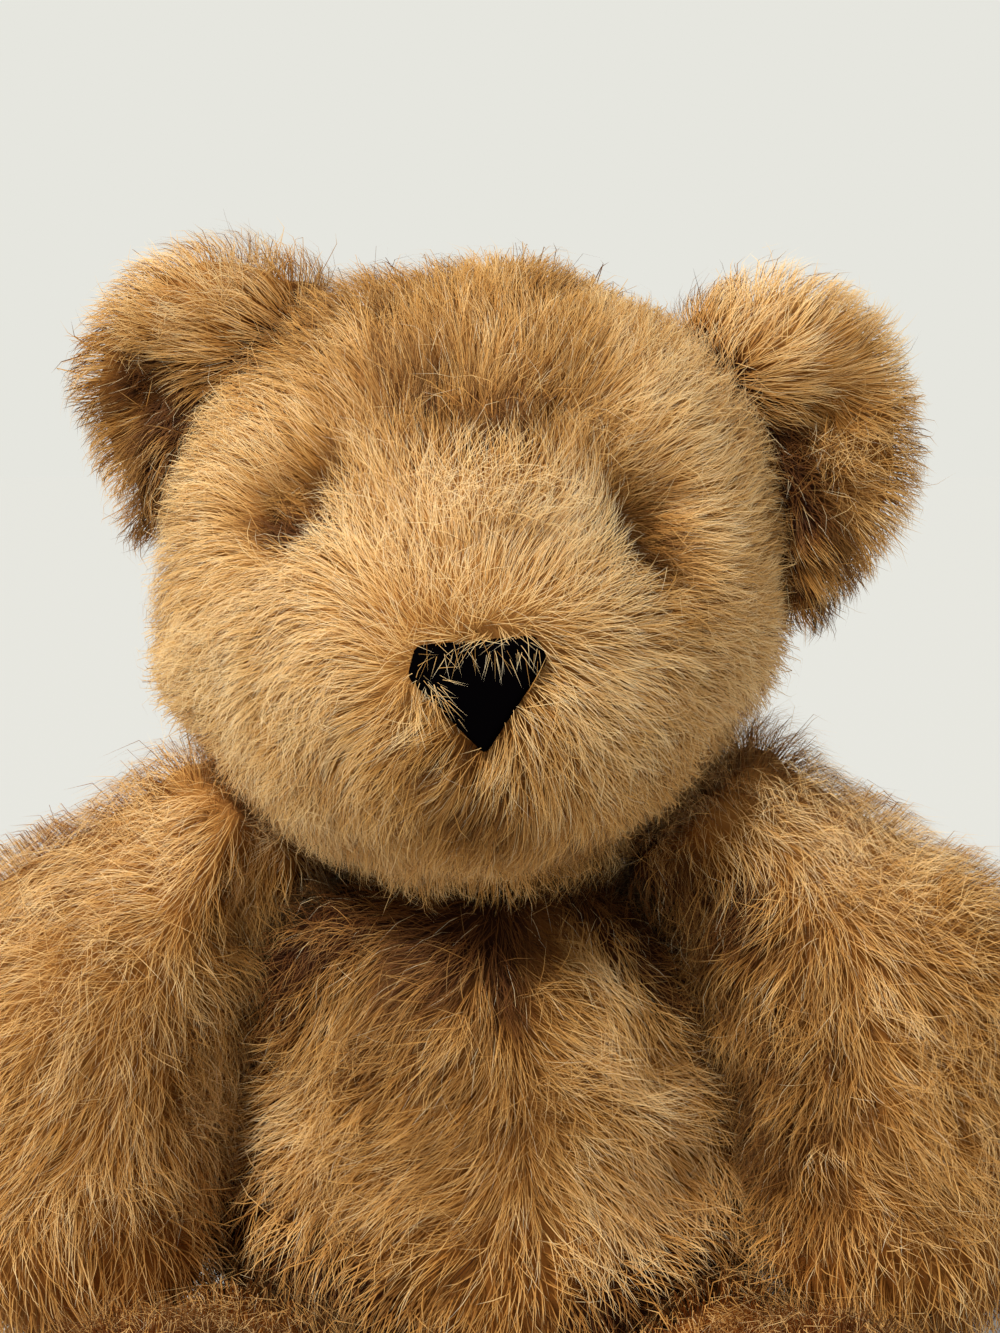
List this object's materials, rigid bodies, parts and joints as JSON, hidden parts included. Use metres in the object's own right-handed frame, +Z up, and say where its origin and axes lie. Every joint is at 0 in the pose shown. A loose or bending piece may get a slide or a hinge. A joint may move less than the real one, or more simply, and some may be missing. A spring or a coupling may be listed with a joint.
{
  "type": "plush teddy bear",
  "caption": "Seated plush bear of long golden-brown pile fabric sewn over fibre stuffing, with a flat velvet nose, cupped ears and matted, swirled fur.",
  "frame": {"origin": "middle of the bounding box in X and Y, on the surface the bear sits on", "axes": "+Z up from the seat surface, -Y the way the bear faces, +X towards the bear's own left"},
  "size_m": [0.2758, 0.2062, 0.308],
  "materials": {
    "honey_pile": "long acrylic pile, straw tips over brown roots, matted",
    "golden_pile": "long acrylic pile, golden brown, matted into locks",
    "brown_pile": "long acrylic pile, darker brown, matted",
    "nose_velvet": "matt black velvet",
    "sole_plush": "short tan plush",
    "stuffing_fibre": "loose white polyester fibre"
  },
  "bodies": {
    "root": {"muzzle": "honey_pile", "head_side_left": "honey_pile", "head_side_right": "honey_pile", "head_gusset": "golden_pile", "ear_left_front": "golden_pile", "ear_right_front": "golden_pile", "body_back_left": "golden_pile", "body_back_right": "golden_pile", "arm_left_outer": "golden_pile", "arm_left_inner": "golden_pile", "arm_right_outer": "golden_pile", "arm_right_inner": "golden_pile", "leg_left_outer": "golden_pile", "leg_left_inner": "golden_pile", "leg_right_outer": "golden_pile", "leg_right_inner": "golden_pile", "ear_left_back": "brown_pile", "ear_right_back": "brown_pile", "body_front_left": "brown_pile", "body_front_right": "brown_pile", "nose": "nose_velvet", "sole_left": "sole_plush", "sole_right": "sole_plush", "head_stuffing": "stuffing_fibre", "body_stuffing": "stuffing_fibre", "arm_left_stuffing": "stuffing_fibre", "arm_right_stuffing": "stuffing_fibre", "leg_left_stuffing": "stuffing_fibre", "leg_right_stuffing": "stuffing_fibre"}
  },
  "joints": []
}
